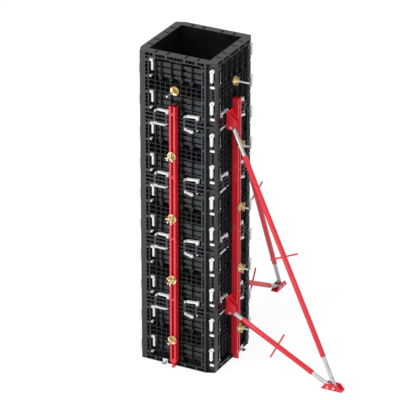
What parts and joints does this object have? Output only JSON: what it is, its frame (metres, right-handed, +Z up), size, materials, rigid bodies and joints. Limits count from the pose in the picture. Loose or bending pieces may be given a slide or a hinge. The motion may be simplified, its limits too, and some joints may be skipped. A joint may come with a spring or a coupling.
{
  "type": "concrete column formwork",
  "caption": "Square column form of ribbed plastic panels with quarter-turn handles, tie rods, walers and push-pull props on base shoes.",
  "frame": {"origin": "on the floor, on the axis of the column that the form casts", "axes": "+Z up along the column, -Y towards the front side, +X towards the right side that carries the first pair of props"},
  "size_m": [2.0715, 2.0715, 3],
  "materials": {
    "black_plastic": "satin moulded ABS",
    "white_nylon": "satin moulded nylon",
    "red_paint": "semi-gloss enamel on steel",
    "zinc": "galvanised",
    "yellow_zinc": "yellow-passivated steel"
  },
  "bodies": {
    "form": {"panel_front_1": "black_plastic", "panel_front_2": "black_plastic", "panel_front_3": "black_plastic", "panel_front_4": "black_plastic", "panel_front_5": "black_plastic", "panel_right_1": "black_plastic", "panel_right_2": "black_plastic", "panel_right_3": "black_plastic", "panel_right_4": "black_plastic", "panel_right_5": "black_plastic", "panel_back_1": "black_plastic", "panel_back_2": "black_plastic", "panel_back_3": "black_plastic", "panel_back_4": "black_plastic", "panel_back_5": "black_plastic", "panel_left_1": "black_plastic", "panel_left_2": "black_plastic", "panel_left_3": "black_plastic", "panel_left_4": "black_plastic", "panel_left_5": "black_plastic", "waler_front": "red_paint", "waler_right": "red_paint", "waler_back": "red_paint", "waler_left": "red_paint", "tie_rods_front_back": "yellow_zinc", "tie_rods_left_right": "yellow_zinc", "tie_nuts_front": "yellow_zinc", "tie_nuts_right": "yellow_zinc", "tie_nuts_back": "yellow_zinc", "tie_nuts_left": "yellow_zinc", "corner_handles_front_right": "white_nylon", "corner_handles_back_right": "white_nylon", "corner_handles_back_left": "white_nylon", "corner_handles_front_left": "white_nylon", "joint_handles_front": "white_nylon", "joint_handles_right": "white_nylon", "joint_handles_back": "white_nylon", "joint_handles_left": "white_nylon", "long_prop_head_right": "red_paint", "short_prop_head_right": "red_paint", "long_prop_upper_spindle_right": "zinc", "short_prop_upper_spindle_right": "zinc", "long_prop_lower_spindle_right": "zinc", "short_prop_lower_spindle_right": "zinc", "base_shoe_right": "red_paint", "long_prop_head_back": "red_paint", "short_prop_head_back": "red_paint", "long_prop_upper_spindle_back": "zinc", "short_prop_upper_spindle_back": "zinc", "long_prop_lower_spindle_back": "zinc", "short_prop_lower_spindle_back": "zinc", "base_shoe_back": "red_paint", "head_pins": "zinc", "foot_pins": "zinc", "slab_brackets": "zinc", "slab_bolts": "zinc"},
    "long_tube_right": {"long_prop_tube_right": "red_paint"},
    "short_tube_right": {"short_prop_tube_right": "red_paint"},
    "long_tube_back": {"long_prop_tube_back": "red_paint"},
    "short_tube_back": {"short_prop_tube_back": "red_paint"}
  },
  "joints": [
    {"name": "long_tube_turn_right", "type": "hinge", "parent": "form", "child": "long_tube_right", "pos_m": [0.9438, -0.122, 1.19226], "axis": [0.4086, 0, -0.9127], "continuous": true},
    {"name": "short_tube_turn_right", "type": "hinge", "parent": "form", "child": "short_tube_right", "pos_m": [0.88739, -0.122, 0.29532], "axis": [0.8881, 0, -0.4596], "continuous": true},
    {"name": "long_tube_turn_back", "type": "hinge", "parent": "form", "child": "long_tube_back", "pos_m": [0.122, 0.9438, 1.19226], "axis": [0, 0.4086, -0.9127], "continuous": true},
    {"name": "short_tube_turn_back", "type": "hinge", "parent": "form", "child": "short_tube_back", "pos_m": [0.122, 0.88739, 0.29532], "axis": [0, 0.8881, -0.4596], "continuous": true}
  ]
}
